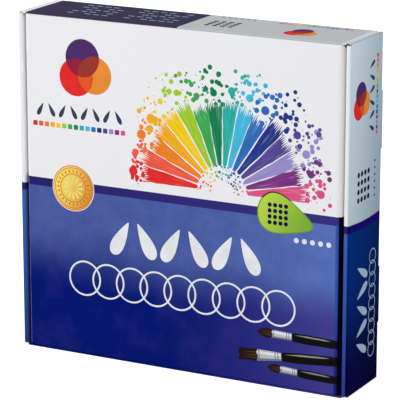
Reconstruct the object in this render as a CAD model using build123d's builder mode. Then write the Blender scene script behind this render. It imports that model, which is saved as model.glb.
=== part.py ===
from build123d import *
from math import asin, degrees
import os

# A flat carton of thin printed board, standing on its front wall, with its lid facing -Y.
# It holds screw-top jars of gouache, mouths towards the lid. All sizes are in millimetres.

# Board and folds
board = 0.6  # thickness of the board
fold_radius = 1.2  # outside of a fold that stays shut
roll_fold_radius = 1.1  # outside of the two folds on top of a rolled side wall
fold_land = 0.4  # flat strip between a fold and the panel it belongs to
crease_gap = 0.1  # gap round a crease that moves
slot_gap = 0.4  # each side of a flap that lies between two boards
tab_gap = 0.1  # round a tab in its slot, and under a rolled wall
joint_gap = 0.3  # between the edges of neighbouring walls
roll_setback = 0.4  # the rolled edge lies this far behind the lid's face

# Jars, in their own frame: base at zero, mouth upwards
columns = 4
rows = 4
jar_height = 26.4
jar_wall = 1.0
jar_floor = 1.2
base_ring_width = 1.6
base_recess = 0.5
neck_height = 9.5
shoulder_step = 1.8  # from the neck out to the body
shoulder_flat = 0.4  # left between the neck and the bevelled shoulder
paint_headspace = 3.0

# Caps and liners
cap_diameter = 36.4
cap_wall = 1.4
cap_top = 1.2
cap_edge_fillet = 0.8
cap_shoulder_gap = 0.6  # from the skirt's rim to the jar's shoulder
liner_thickness = 1.0
liner_gap = 0.15
rib_count = 40
rib_groove_radius = 0.5
rib_groove_depth = 0.35
rib_top_margin = 1.6  # plain band left above the grooves

# Screw thread
thread_pitch = 3.0
thread_turns = 1.0
thread_height = 0.7
thread_root_width = 1.1
thread_crest_width = 0.5
thread_gap = 0.2  # clearance on the crests and on the flanks
thread_drop = 3.1  # from the mouth down to the middle of the jar's upper thread end
unscrew_turns = 0.75

# Room inside the carton
jar_seat_gap = 0.2
cap_spacing_x = 1.5
cap_spacing_z = 0.6
jar_side_gap = 0.95
jar_top_gap = 0.8
jar_bottom_gap = 0.3
lid_headroom = 0.75

# Lid, ears and tuck flap
ear_fold_radius = 2.4
ear_gap = 0.8  # from an ear to the rolled wall beside it
ear_depth = 20.0
ear_taper = 12.0  # how far each end of an ear is cut back at its deep side
ear_top_notch = 1.4  # how far the ear's upper end falls away behind the fold
ear_bottom_notch = 0.3  # the same at its lower end
ear_corner_radius = 5.0
tuck_gap = 0.3  # from the front wall up to the tuck flap
tuck_length = 18.0
tuck_lift = 2.0  # the spring of the crease lifts the flap's tip
tuck_corner_radius = 8.0
front_edge_setback = 0.3

# Dust flaps and locking tabs
dust_flap_length = 24.0
dust_flap_corner = 4.0
tab_count = 2
tab_length = 25.0
tab_spacing = 77.0
tab_depth = 0.6

# The carton grows from the jars and from the boards round them
turn_rise = thread_pitch * unscrew_turns
stack_height = jar_seat_gap + jar_height + liner_thickness + cap_top + turn_rise + lid_headroom
depth = stack_height + 2 * board
pitch_x = cap_diameter + cap_spacing_x
pitch_z = cap_diameter + cap_spacing_z
roll_width = 3 * board + 2 * slot_gap
block_width = pitch_x * (columns - 1) + cap_diameter
ear_inner_x = block_width / 2 + jar_side_gap
ear_outer_x = ear_inner_x + board
width = 2 * (ear_outer_x + ear_gap + roll_width)
tuck_axis_z = board + tuck_gap + board / 2
block_bottom_z = tuck_axis_z + board / 2 + tuck_lift + jar_bottom_gap
block_height = pitch_z * (rows - 1) + cap_diameter
height = block_bottom_z + block_height + jar_top_gap + board

front_y = -depth / 2
back_y = depth / 2
inner_back_y = back_y - board
lid_y = front_y + board / 2  # middle of the lid's thickness, where both its creases lie
hinge_z = height - board / 2
panel_margin = fold_radius + fold_land
wall_half_width = width / 2 - board - slot_gap - panel_margin  # front and hinge walls end here
jar_seat_y = inner_back_y - jar_seat_gap
middle_fold = fold_radius - board / 2
crease_reach = board / 2 + crease_gap

sides = {"left": -1, "right": 1}
os.makedirs("parts", exist_ok=True)


def save(piece, name):
    piece.part.label = name
    export_step(piece.part, f"parts/{name}.step")


def folded_strip(points, radius, thickness=board):
    """A board seen edge on: its middle line, with rounded folds, given its thickness."""
    with BuildLine() as middle:
        FilletPolyline(*points, radius=radius)
    trace(middle.line, line_width=thickness)


def across(x):
    """A plane square to X, whose sketch has Y to the right and Z upwards."""
    return Plane(origin=(x, 0, 0), x_dir=(0, 1, 0), z_dir=(1, 0, 0))


# Base panel, with the slots that the side walls' tabs lock into
inner_wall_x = width / 2 - roll_width + board / 2
tab_rows = [height / 2 + tab_spacing * (i - (tab_count - 1) / 2) for i in range(tab_count)]
tab_places = [(s * inner_wall_x, z) for s in sides.values() for z in tab_rows]

with BuildPart() as base_panel:
    with BuildSketch(Plane.XZ.offset(-back_y)):
        with Locations((0, height / 2)):
            Rectangle(width - 2 * panel_margin, height - 2 * panel_margin)
        with Locations(*tab_places):
            Rectangle(board + 2 * tab_gap, tab_length + 2 * tab_gap, mode=Mode.SUBTRACT)
    extrude(amount=board)
save(base_panel, "base_panel")

# Front wall, folded up from the base's lower edge; its front edge is free
with BuildPart() as front_wall:
    with BuildSketch(across(-wall_half_width)):
        folded_strip(
            [
                (back_y - board / 2, panel_margin),
                (back_y - board / 2, board / 2),
                (front_y + front_edge_setback, board / 2),
            ],
            middle_fold,
        )
    extrude(amount=2 * wall_half_width)
save(front_wall, "front_wall")

# Hinge wall, folded up from the base's upper edge; a round bead carries the lid's crease
with BuildPart() as hinge_wall:
    with BuildSketch(across(-wall_half_width)):
        folded_strip(
            [
                (back_y - board / 2, height - panel_margin),
                (back_y - board / 2, hinge_z),
                (lid_y, hinge_z),
            ],
            middle_fold,
        )
        with Locations((lid_y, hinge_z)):
            Circle(board / 2)
    extrude(amount=2 * wall_half_width)
save(hinge_wall, "hinge_wall")


def dust_flap(side, fold_z, inward):
    """One flap at the end of a wall, folded into the slot of the rolled side wall."""
    outer_x = width / 2 - board - slot_gap
    flap_front_y = front_y + roll_setback + roll_fold_radius + slot_gap
    flap_back_y = back_y - fold_radius - slot_gap
    middle_z = fold_z + inward * board / 2
    with BuildSketch(Plane.XZ.offset(-flap_back_y)) as section:
        folded_strip(
            [
                (side * wall_half_width, middle_z),
                (side * (outer_x - board / 2), middle_z),
                (side * (outer_x - board / 2), fold_z + inward * dust_flap_length),
            ],
            middle_fold,
        )
    flap = extrude(section.sketch, amount=flap_back_y - flap_front_y)
    tip = flap.edges().filter_by(Axis.X).group_by(Axis.Z)[-1 if inward > 0 else 0]
    chamfer(tip, dust_flap_corner)


for wall_name, fold_z, inward in (("front_wall", 0, 1), ("hinge_wall", height, -1)):
    with BuildPart() as dust_flaps:
        for side in sides.values():
            dust_flap(side, fold_z, inward)
    save(dust_flaps, wall_name + "_dust_flaps")

# Side walls, rolled over the dust flaps and locked into the base
roll_front_y = front_y + roll_setback
roll_bottom_z = board + joint_gap
roll_height = height - 2 * roll_bottom_z


def side_wall(side):
    outer_x = side * (width / 2 - board / 2)
    inner_x = side * inner_wall_x
    with BuildSketch(Plane.XY.offset(joint_gap)) as outer_section:
        folded_strip(
            [
                (side * (width / 2 - panel_margin), back_y - board / 2),
                (outer_x, back_y - board / 2),
                (outer_x, roll_front_y + roll_fold_radius),
            ],
            middle_fold,
        )
    extrude(outer_section.sketch, amount=height - 2 * joint_gap)
    with BuildSketch(Plane.XY.offset(roll_bottom_z)) as rolled_section:
        folded_strip(
            [
                (outer_x, 0),
                (outer_x, roll_front_y + board / 2),
                (inner_x, roll_front_y + board / 2),
                (inner_x, inner_back_y - tab_gap),
            ],
            roll_fold_radius - board / 2,
        )
    extrude(rolled_section.sketch, amount=roll_height)
    with BuildSketch(Plane.XZ.offset(-(inner_back_y + tab_depth))) as tabs:
        with Locations(*[(inner_x, z) for z in tab_rows]):
            Rectangle(board, tab_length)
    extrude(tabs.sketch, amount=tab_depth + 2 * tab_gap)
    with BuildSketch(Plane.XZ.offset(-back_y)) as lips:  # where the slots are cut, the wall stays straight
        with Locations(*[(outer_x, z) for z in tab_rows]):
            Rectangle(board, tab_length)
    extrude(lips.sketch, amount=fold_radius)


for side_name, side in sides.items():
    with BuildPart() as wall:
        side_wall(side)
    save(wall, side_name + "_side_wall")

# Lid panel, from under the hinge crease down to the bead that carries the tuck flap
lid_half_width = ear_outer_x - ear_fold_radius - fold_land
with BuildPart() as lid_panel:
    with BuildSketch(across(-lid_half_width)):
        with Locations((lid_y, (tuck_axis_z + hinge_z - crease_reach) / 2)):
            Rectangle(board, hinge_z - crease_reach - tuck_axis_z)
        with Locations((lid_y, tuck_axis_z)):
            Circle(board / 2)
    extrude(amount=2 * lid_half_width)
save(lid_panel, "lid_panel")


def lid_ear(side):
    """A flap along the lid's side edge, folded back beside the jars."""
    bottom_z = tuck_axis_z
    top_z = hinge_z - crease_reach
    deep_y = front_y + ear_depth
    with BuildSketch(Plane.XY.offset(bottom_z)) as section:
        folded_strip(
            [
                (side * lid_half_width, lid_y),
                (side * (ear_outer_x - board / 2), lid_y),
                (side * (ear_outer_x - board / 2), deep_y),
            ],
            ear_fold_radius - board / 2,
        )
    extrude(section.sketch, amount=top_z - bottom_z)
    with BuildSketch(across(-width / 2)) as outline:
        with BuildLine():
            Polyline(
                (front_y, bottom_z),
                (front_y + board, bottom_z),
                (front_y + ear_fold_radius, bottom_z + ear_bottom_notch),
                (deep_y, bottom_z + ear_taper),
                (deep_y, top_z - ear_taper),
                (front_y + ear_fold_radius, top_z - ear_top_notch),
                (front_y + board, top_z),
                (front_y, top_z),
                close=True,
            )
        make_face()
        fillet(outline.vertices().group_by(Axis.X)[-1], ear_corner_radius)
    extrude(outline.sketch, amount=width, mode=Mode.INTERSECT)


for side_name, side in sides.items():
    with BuildPart() as ear:
        lid_ear(side)
    save(ear, side_name + "_lid_ear")

# Tuck flap, on the lid's lower crease, springing up a little inside the carton
tuck_tilt = degrees(asin(tuck_lift / tuck_length))
tuck_half_width = lid_half_width - joint_gap
tuck_plane = Plane(origin=(0, lid_y, tuck_axis_z), x_dir=(1, 0, 0), z_dir=(0, 0, 1))

with BuildPart() as tuck_flap:
    with BuildSketch(tuck_plane.rotated((tuck_tilt, 0, 0))) as outline:
        with Locations((0, crease_reach)):
            flap_size = (2 * tuck_half_width, tuck_length - crease_reach)
            Rectangle(*flap_size, align=(Align.CENTER, Align.MIN))
        fillet(outline.vertices().group_by(Axis.Y)[-1], tuck_corner_radius)
    extrude(amount=board / 2, both=True)
save(tuck_flap, "tuck_flap")

# The screw thread's ridge, swept along a helix about the jar's axis
cap_radius = cap_diameter / 2
cap_bore_radius = cap_radius - cap_wall
neck_radius = cap_bore_radius - thread_gap - thread_height
jar_thread_z = jar_height - thread_drop - thread_pitch * thread_turns
flank_slope = (thread_root_width - thread_crest_width) / 2 / thread_height
flank_width = thread_root_width - flank_slope * (thread_height - thread_gap)
cap_thread_z = jar_thread_z - flank_width - thread_gap


def thread_ridge(root_radius, start_z, outward):
    helix = Helix(
        pitch=thread_pitch,
        height=thread_pitch * thread_turns,
        radius=root_radius,
        center=(0, 0, start_z),
        mode=Mode.PRIVATE,
    )
    section = Plane(origin=helix @ 0, x_dir=(outward, 0, 0), z_dir=helix % 0)
    with BuildLine() as path:
        add(helix)
    with BuildSketch(section) as profile:
        with BuildLine():
            Polyline(
                (-thread_gap, -thread_root_width / 2),
                (thread_height, -thread_crest_width / 2),
                (thread_height, thread_crest_width / 2),
                (-thread_gap, thread_root_width / 2),
                close=True,
            )
        make_face()
    sweep(profile.sketch, path=path.line, is_frenet=True)


def turned(points):
    """A solid of revolution about Z from an outline of (radius, height) points."""
    with BuildSketch(Plane.XZ) as outline:
        with BuildLine():
            Polyline(*points, close=True)
        make_face()
    return revolve(outline.sketch, axis=Axis.Z)


# One jar, its paint, its liner and its cap, standing at the origin
jar_radius = neck_radius + shoulder_step
shoulder_z = jar_height - neck_height
hollow_radius = jar_radius - jar_wall
neck_bore_radius = neck_radius - jar_wall

with BuildPart() as jar_form:
    turned(
        [
            (0, base_recess),
            (jar_radius - base_ring_width, base_recess),
            (jar_radius - base_ring_width, 0),
            (jar_radius, 0),
            (jar_radius, shoulder_z),
            (neck_radius, shoulder_z),
            (neck_radius, jar_height),
            (neck_bore_radius, jar_height),
            (neck_bore_radius, shoulder_z + jar_wall),
            (hollow_radius, shoulder_z - jar_wall),
            (hollow_radius, base_recess + jar_floor),
            (0, base_recess + jar_floor),
        ]
    )
    shoulder_edges = jar_form.edges().filter_by(GeomType.CIRCLE)
    shoulder_edges = shoulder_edges.filter_by(lambda edge: abs(edge.radius - jar_radius) < 0.01)
    chamfer(shoulder_edges.group_by(Axis.Z)[-1], shoulder_step - shoulder_flat)
    thread_ridge(neck_radius, jar_thread_z, 1)

with BuildPart() as fill_form:
    turned(
        [
            (0, base_recess + jar_floor),
            (hollow_radius, base_recess + jar_floor),
            (hollow_radius, shoulder_z - jar_wall),
            (neck_bore_radius, shoulder_z + jar_wall),
            (neck_bore_radius, jar_height - paint_headspace),
            (0, jar_height - paint_headspace),
        ]
    )

with BuildPart() as liner_form:
    with BuildSketch(Plane.XY.offset(jar_height)):
        Circle(cap_bore_radius - liner_gap)
    extrude(amount=liner_thickness)

cap_rim_z = shoulder_z + cap_shoulder_gap
cap_ceiling_z = jar_height + liner_thickness
cap_crown_z = cap_ceiling_z + cap_top

with BuildPart() as cap_form:
    turned(
        [
            (0, cap_ceiling_z),
            (cap_bore_radius, cap_ceiling_z),
            (cap_bore_radius, cap_rim_z),
            (cap_radius, cap_rim_z),
            (cap_radius, cap_crown_z),
            (0, cap_crown_z),
        ]
    )
    fillet(cap_form.edges().group_by(Axis.Z)[-1], cap_edge_fillet)
    groove_offset = rib_groove_radius - rib_groove_depth
    with BuildSketch(Plane.XY.offset(cap_rim_z)):
        with PolarLocations(cap_radius + groove_offset, rib_count):
            Circle(rib_groove_radius)
    extrude(amount=cap_crown_z - rib_top_margin - cap_rim_z, mode=Mode.SUBTRACT)
    thread_ridge(cap_bore_radius, cap_thread_z, -1)


def seat(column, row):
    """A jar's own frame in the carton: Z towards the lid, rows counted from the top."""
    x = (column - (columns - 1) / 2) * pitch_x
    z = block_bottom_z + cap_diameter / 2 + (rows - 1 - row) * pitch_z
    return Plane(origin=(x, jar_seat_y, z), x_dir=(1, 0, 0), z_dir=(0, -1, 0))


seats = [seat(column, row) for row in range(rows) for column in range(columns)]

for form, name in ((jar_form, "jar"), (liner_form, "cap_liner"), (cap_form, "cap")):
    for number, place in enumerate(seats, start=1):
        with BuildPart(place) as piece:
            add(form.part)
        save(piece, f"{name}_{number:02}")

with BuildPart(*seats) as gouache_fills:
    add(fill_form.part)
save(gouache_fills, "gouache_fills")

print(f"carton {width:.2f} wide, {depth:.2f} deep, {height:.2f} high")
print(f"jar rise {turn_rise:.2f}, jar centres {pitch_x:.2f} by {pitch_z:.2f}")
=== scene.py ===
import math
import random
from functools import partialmethod

import bmesh
import bpy
from mathutils import Matrix, Vector


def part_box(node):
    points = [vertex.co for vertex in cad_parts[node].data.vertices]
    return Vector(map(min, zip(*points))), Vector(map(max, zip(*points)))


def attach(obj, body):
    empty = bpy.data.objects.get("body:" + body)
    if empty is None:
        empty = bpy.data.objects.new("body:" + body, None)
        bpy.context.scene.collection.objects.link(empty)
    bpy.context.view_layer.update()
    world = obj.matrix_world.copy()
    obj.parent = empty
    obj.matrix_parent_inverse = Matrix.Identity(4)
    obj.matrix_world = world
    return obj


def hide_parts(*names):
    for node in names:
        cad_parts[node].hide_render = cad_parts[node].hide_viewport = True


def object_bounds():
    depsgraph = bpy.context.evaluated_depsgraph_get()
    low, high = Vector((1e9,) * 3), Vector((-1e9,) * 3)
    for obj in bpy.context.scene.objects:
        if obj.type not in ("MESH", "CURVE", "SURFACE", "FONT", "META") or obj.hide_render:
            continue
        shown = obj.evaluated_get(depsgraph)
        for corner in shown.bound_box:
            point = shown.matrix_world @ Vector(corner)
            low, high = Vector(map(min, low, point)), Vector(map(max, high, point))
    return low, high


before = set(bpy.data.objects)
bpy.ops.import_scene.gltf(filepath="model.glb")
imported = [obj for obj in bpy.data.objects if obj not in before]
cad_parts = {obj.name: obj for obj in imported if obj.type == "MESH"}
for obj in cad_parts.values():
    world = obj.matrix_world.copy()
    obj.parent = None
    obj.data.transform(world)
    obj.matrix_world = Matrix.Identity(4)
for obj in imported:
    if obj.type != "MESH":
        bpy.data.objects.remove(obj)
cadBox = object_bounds()
mm = 0.001

# Sizes of the carton, read from the frame
lidLow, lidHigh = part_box("lid_panel")
wallLow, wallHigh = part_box("right_side_wall")
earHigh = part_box("right_lid_ear")[1]
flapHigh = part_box("hinge_wall_dust_flaps")[1]
boxHeight = cadBox[1].z
faceFront = cadBox[0].y
faceBack = cadBox[1].y
faceSide = cadBox[1].x
boardThickness = lidHigh.y - lidLow.y
half = boardThickness / 2
# Outer radii of the folds, and the tuck flap's rise along its length
foldSizes = {"ear": 2.4 * mm, "wall": 1.2 * mm, "roll": 1.1 * mm, "tuck": (2.0, 18.0)}


def srgb(red, green, blue):
    def linear(value):
        value = value / 255
        return value / 12.92 if value <= 0.04045 else ((value + 0.055) / 1.055) ** 2.4
    return (linear(red), linear(green), linear(blue), 1)


def shaded(colour, factor):
    return tuple(min(1, channel * factor) for channel in colour[:3]) + (1,)


# Colours of the print and the board, with the painted shade and painted highlight tones noted
# below
palette = {
    "white": (243, 243, 245), "bandLeft": (44, 36, 106), "bandRight": (58, 53, 132),
    "upperLeft": (82, 99, 168), "upperRight": (95, 124, 199), "deepLeft": (8, 26, 116),
    # The two fold blues at the end of the next line are part print, part painted light of the bend
    "deepRight": (68, 64, 147), "foldBlue": (44, 84, 166), "foldDeep": (8, 30, 120),
    # The first two tones on the next line are painted shade on the far part of the ears' folds
    "foldNavy": (2, 5, 38), "foldGrey": (243, 238, 236), "rollWhite": (242, 244, 246),
    "rollUpper": (66, 102, 174), "rollLower": (44, 62, 146),
    # The side's pale tones: the far ones and the low ones are painted shade
    "sidePale": (223, 237, 247), "sidePaleFar": (180, 202, 216),
    "sidePaleLow": (200, 218, 226), "sidePaleLowFar": (150, 170, 188),
    "sideBand": (20, 8, 112), "sideBlue": (0, 50, 134), "sideDeep": (0, 0, 68),
    # The last tone on the next line is the top's white right half, painted grey as painted shade
    "sideShade": (0, 0, 16), "topViolet": (58, 51, 82), "topGrey": (202, 206, 208),
    # The first two tones on the next line are one white strip: the first at the right in painted
    # shade, the second at the left in painted light
    "stripWhite": (222, 231, 236), "stripLeft": (253, 253, 253), "lining": (184, 174, 158),
    "liningDark": (162, 151, 134), "liningFleck": (122, 110, 98), "core": (168, 160, 150),
    # The last tone on the next line is a line along the left fold, part wear and part painted
    # highlight
    "coreDark": (140, 131, 120), "wear": (166, 160, 186),
}

inkColours = {
    "red": (234, 48, 48), "coral": (246, 96, 72), "orange": (246, 134, 40),
    "amber": (250, 178, 34), "yellow": (252, 210, 36), "lime": (166, 208, 50),
    "green": (66, 174, 88), "pine": (26, 132, 88), "turquoise": (48, 180, 172),
    "cyan": (70, 190, 230), "blue": (52, 112, 190), "navy": (42, 60, 142),
    "violet": (90, 76, 154), "lilac": (158, 146, 208), "purple": (130, 56, 134),
    "pink": (228, 90, 142),
}

extraInks = {
    "inkWhite": (240, 241, 243), "inkPale": (166, 190, 214), "inkNight": (24, 26, 66),
    "inkSlate": (62, 64, 98), "plumInk": (82, 50, 112), "flameInk": (242, 148, 58),
    "wineInk": (150, 38, 72), "emberInk": (232, 92, 40), "umberInk": (160, 60, 52),
    "goldLight": (252, 228, 128), "goldEdge": (226, 112, 36), "limeEdge": (112, 162, 38),
    "silver": (196, 201, 206), "silverLight": (238, 241, 243), "silverDark": (120, 126, 132),
    "handle": (22, 21, 22), "handleShine": (150, 146, 132), "bristle": (44, 28, 24),
    "bristleLight": (96, 66, 48),
}

paintColours = {
    "titanium": (226, 226, 218), "lemon": (250, 226, 60), "sunflower": (248, 186, 30),
    "tangerine": (240, 120, 34), "scarlet": (216, 44, 36), "crimson": (158, 24, 48),
    "rose": (222, 84, 132), "plum": (104, 44, 120), "ultramarine": (36, 44, 144),
    "cobalt": (30, 92, 180), "sky": (84, 176, 220), "leaf": (92, 170, 60),
    "forest": (20, 98, 62), "ochre": (196, 138, 50), "umber": (98, 58, 36),
    "black": (28, 28, 30),
}

# What is printed on the lid, in millimetres on its face. A motif has its centre and then what
# the function that draws it asks for
frontLook = {
    "fanCentre": (21.0, 83.0),
    "fan": {
        "seed": 11, "fromAngle": 6, "toAngle": 174, "inner": 12.5, "length": 30,
        "startWidth": 1.8, "endWidth": 7.2, "spread": 8, "throw": 15, "drops": 26,
        "dropRadius": 1.25, "edge": 72.0, "leftEdge": -23.5,
    },
    "trio": ((-46.3, 129.5), 8.4),
    "leaves": ((-49.2, 110.2), 5.6, 8, 6.4, 2.3, "inkSlate"),  # pitch, count, length, width
    "swatches": ((-49.4, 103.7), 2.95, 2.2),  # pitch, size
    "seal": ((-52.6, 76.2), 10.6),
    "drop": ((48.4, 76.9), 17.4),
    "dotLine": ((63.6, 66.6), (5, 1), (15, 0), 1.15, "inkWhite"),  # grid, extent, radius
    "petals": ((2.6, 56.4), 12.6, 6, 17.2, 7.4, "inkWhite"),
    "rings": ((0.4, 35.6), 11.9, 9, 7.7, 0.8, "inkWhite"),  # pitch, count, radius, width
    "brushes": [  # foot, angle, length, width, flat
        ((73.8, 23.4), 179, 36.0, 4.2, False),
        ((73.8, 15.8), 184, 45.0, 4.6, True),
        ((73.8, 7.6), 178, 31.0, 3.8, False),
    ],
}

# Where the printed bands and blends lie, in metres
layout = {
    "bandTop": 79.1 * mm,
    "bandBottom": 75.3 * mm,
    "sideBandTop": 75.6 * mm,
    "sideBandBottom": 72.2 * mm,
    "blendFrom": (14 * mm, 20 * mm),  # below the band, at the left and at the right edge
    "blendTo": (46 * mm, 46 * mm),
    "drift": 10 * mm,  # how far the blend wanders up and down
    "violet": (-14 * mm, 70 * mm),  # the foot turns violet between these
    "sideSag": 3.2 * mm,  # four times the bow of the side's band
    "roll": (faceSide - 0.55 * mm, faceSide - 0.75 * mm),  # here the roll's colours begin
    "topSplit": -0.6 * mm,  # the upper face is violet left of this
    "stripFrom": 75.7 * mm,  # and white beyond this, over both side folds
    "softness": 0.1 * mm,
}

# The folds between the lid and its ears, in metres, with painted shade and painted light on them
earLook = {
    "strip": (74.0 * mm, 74.4 * mm),  # a lighter strip beside the right fold begins here, part print and part painted light of the bend
    "stripShare": 0.85,
    "dark": (76.3 * mm, 75.2 * mm),  # painted shade beyond these, at the left and at the right
    "darkBlend": 0.5 * mm,
    "plain": (faceFront + 3 * mm, faceFront + 6 * mm),  # the lid's own print behind these, where the painted shade stops
    # A line along the left fold, part wear and part painted highlight
    "wornAt": 76.0 * mm,
    "worn": (0.12 * mm, 0.42 * mm),
}


# A node tree under construction: each call adds one node and returns its output. A colour may
# be given by its name in the palette
class Tree:
    def __init__(self, tree):
        self.nodes, self.links = tree.nodes, tree.links

    def put(self, socket, value):
        if isinstance(value, bpy.types.NodeSocket):
            self.links.new(value, socket)
        elif value is not None:
            socket.default_value = srgb(*palette[value]) if isinstance(value, str) else value

    def node(self, kind, inputs, output=0, **settings):
        node = self.nodes.new(kind)
        for name, value in settings.items():
            setattr(node, name, value)
        for key, value in inputs.items():
            self.put(node.inputs[key], value)
        return node.outputs[output]

    def calc(self, operation, *values):
        return self.node("ShaderNodeMath", dict(enumerate(values)), operation=operation)

    plus = partialmethod(calc, "ADD")
    minus = partialmethod(calc, "SUBTRACT")
    times = partialmethod(calc, "MULTIPLY")
    scaled = partialmethod(calc, "MULTIPLY_ADD")  # a value, its factor and what is added
    larger = partialmethod(calc, "MAXIMUM")
    absolute = partialmethod(calc, "ABSOLUTE")

    def hypot(self, first, second):
        return self.calc("SQRT", self.scaled(second, second, self.times(first, first)))


class Shader(Tree):
    def __init__(self, name):
        self.material = bpy.data.materials.new(name)
        self.material.use_nodes = True
        super().__init__(self.material.node_tree)
        self.surface = self.nodes["Principled BSDF"].inputs
        self.point = self.node("ShaderNodeTexCoord", {}, "Object")

    def axes(self):
        split = self.nodes.new("ShaderNodeSeparateXYZ")
        self.put(split.inputs[0], self.point)
        return split.outputs[:]

    def ramp(self, value, low, high, start=0.0, end=1.0, kind="SMOOTHSTEP"):
        values = dict(enumerate((value, low, high, start, end)))
        return self.node("ShaderNodeMapRange", values, interpolation_type=kind)

    def even(self, value, low, high, start=0.0, end=1.0):
        return self.ramp(value, low, high, start, end, "LINEAR")

    def above(self, value, edge, soft=layout["softness"]):  # 1 beyond a printed edge, else 0
        return self.ramp(value, edge - soft, edge + soft)

    def mix(self, factor, first, second):
        return self.node("ShaderNodeMix", {0: factor, 6: first, 7: second}, 2, data_type="RGBA")

    def noise(self, scale, detail=3.0, roughness=0.5, stretch=None, point=None):
        point = point or self.point
        if stretch:
            point = self.node("ShaderNodeMapping", {"Vector": point, "Scale": stretch})
        values = {"Vector": point, "Scale": scale, "Detail": detail, "Roughness": roughness}
        return self.node("ShaderNodeTexNoise", values, "Fac")

    def bump(self, height, strength, distance, normal=None):
        values = {"Strength": strength, "Distance": distance, "Height": height, "Normal": normal}
        bumped = self.node("ShaderNodeBump", values)
        self.put(self.surface["Normal"], bumped)
        return bumped

    def finish(self, colour, roughness, **uniform):
        self.put(self.surface["Base Color"], colour)
        self.put(self.surface["Roughness"], roughness)
        for name, value in uniform.items():
            self.surface[name.replace("_", " ")].default_value = value
        return self.material


# White above, a violet band, and blues that deepen towards the foot
def frontPrint(tree):
    x, y, z = tree.axes()
    across = tree.even(x, -faceSide, faceSide)
    depth = tree.minus(layout["bandBottom"], z)
    drift = tree.scaled(tree.noise(24, 4, 0.55), 2 * layout["drift"], -layout["drift"])
    begin = tree.even(x, -faceSide, faceSide, *layout["blendFrom"])
    end = tree.even(x, -faceSide, faceSide, *layout["blendTo"])
    upper = tree.mix(tree.calc("POWER", across, 3.0), "upperLeft", "upperRight")
    rightward = tree.even(x, *layout["violet"])
    deep = tree.mix(tree.calc("POWER", rightward, 1.8), "deepLeft", "deepRight")
    patches = tree.ramp(tree.noise(70, 4, 0.6), 0.44, 0.72, 0.0, 0.18)
    deep = tree.mix(patches, deep, "deepRight")
    field = tree.mix(tree.ramp(tree.plus(depth, drift), begin, end), upper, deep)
    mottle = tree.ramp(tree.noise(110, 4, 0.65), 0.3, 0.72, 0.0, 0.24)
    field = tree.mix(mottle, field, deep)
    band = tree.mix(across, "bandLeft", "bandRight")
    field = tree.mix(tree.above(z, layout["bandBottom"]), field, band)
    return tree.mix(tree.above(z, layout["bandTop"]), field, "white")


# The same print where the lid bends back into its ears, with painted shade where each fold turns
# into the gap beside the lid
def earPrint(tree):
    x, y, z = tree.axes()
    side = tree.absolute(x)
    printed = frontPrint(tree)
    soft = layout["softness"]
    white = tree.above(z, layout["bandTop"])
    below = tree.ramp(z, layout["bandBottom"] + soft, layout["bandBottom"] - soft)
    right = tree.ramp(x, -mm, mm)
    # A lighter blue strip on the right fold, below the band: part print, part painted light of the
    # bend
    strip = tree.ramp(side, *earLook["strip"])
    strip = tree.times(tree.times(below, right), strip)
    stripTone = tree.mix(tree.ramp(z, 5 * mm, 45 * mm), "foldDeep", "foldBlue")
    colour = tree.mix(tree.times(strip, earLook["stripShare"]), printed, stripTone)
    for foot, angle, length, width, flat in frontLook["brushes"]:  # the handles run over the fold
        away = tree.absolute(tree.minus(z, foot[1] * mm))
        handle = tree.ramp(away, 0.46 * width * mm, (0.46 * width - 0.1) * mm)
        colour = tree.mix(tree.times(handle, right), colour, srgb(*extraInks["handle"]))
    # Painted shade on the far part of each fold: navy in the blue, light grey in the white
    shadeFrom = tree.ramp(x, -mm, mm, *earLook["dark"])
    turn = tree.ramp(side, shadeFrom, tree.plus(shadeFrom, earLook["darkBlend"]))
    colour = tree.mix(turn, colour, tree.mix(white, "foldNavy", "foldGrey"))
    inside = tree.ramp(y, *earLook["plain"])
    colour = tree.mix(inside, colour, printed)
    # A lighter line along the left fold, part wear and part painted highlight; in the white it
    # takes the painted shade's grey
    line = tree.absolute(tree.minus(side, earLook["wornAt"]))
    patchy = tree.ramp(tree.noise(160, 3, 0.6), 0.25, 0.6, 0.35, 0.8)
    worn = tree.ramp(line, *earLook["worn"], 1.0, 0.0)
    worn = tree.times(tree.times(worn, patchy), tree.ramp(x, -mm, mm, 1.0, 0.0))
    return tree.mix(worn, colour, tree.mix(white, "wear", "foldGrey"))


# Pale above and blue below, both with painted shade darker towards the back, the pale part also
# with painted shade lower down, and the roll in its own colours
def sidePrint(tree):
    x, y, z = tree.axes()
    low = tree.even(z, 0.0, layout["sideBandBottom"], 1.0, 0.0)
    share = tree.plus(low, tree.scaled(tree.noise(30, 3, 0.5), 0.16, -0.08))
    away = tree.even(y, faceFront + 3 * mm, faceBack)
    sag = tree.times(away, tree.minus(1.0, away))
    z = tree.scaled(sag, layout["sideSag"], z)
    folded = tree.ramp(tree.absolute(x), *layout["roll"])
    field = tree.mix(tree.ramp(share, 0.0, 0.95), "sideBlue", "sideDeep")
    # Painted shade: the blue darkens towards the back
    field = tree.mix(tree.times(away, 0.55), field, "sideShade")
    field = tree.mix(folded, field, tree.mix(low, "rollUpper", "rollLower"))
    band = tree.mix(folded, "sideBand", "bandLeft")
    field = tree.mix(tree.above(z, layout["sideBandBottom"]), field, band)
    high = tree.even(z, layout["sideBandTop"], boxHeight)
    # Painted shade: the pale part darkens lower down and towards the back
    near = tree.mix(high, "sidePaleLow", "sidePale")
    pale = tree.mix(away, near, tree.mix(high, "sidePaleLowFar", "sidePaleFar"))
    pale = tree.mix(folded, pale, "rollWhite")
    # The left wall's upper cut takes the strip's white with its painted light
    cut = tree.ramp(z, wallHigh.z - 0.66 * mm, wallHigh.z - 0.64 * mm)
    pale = tree.mix(tree.times(cut, tree.ramp(x, mm, -mm)), pale, "stripLeft")
    return tree.mix(tree.above(z, layout["sideBandTop"]), field, pale)


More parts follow.
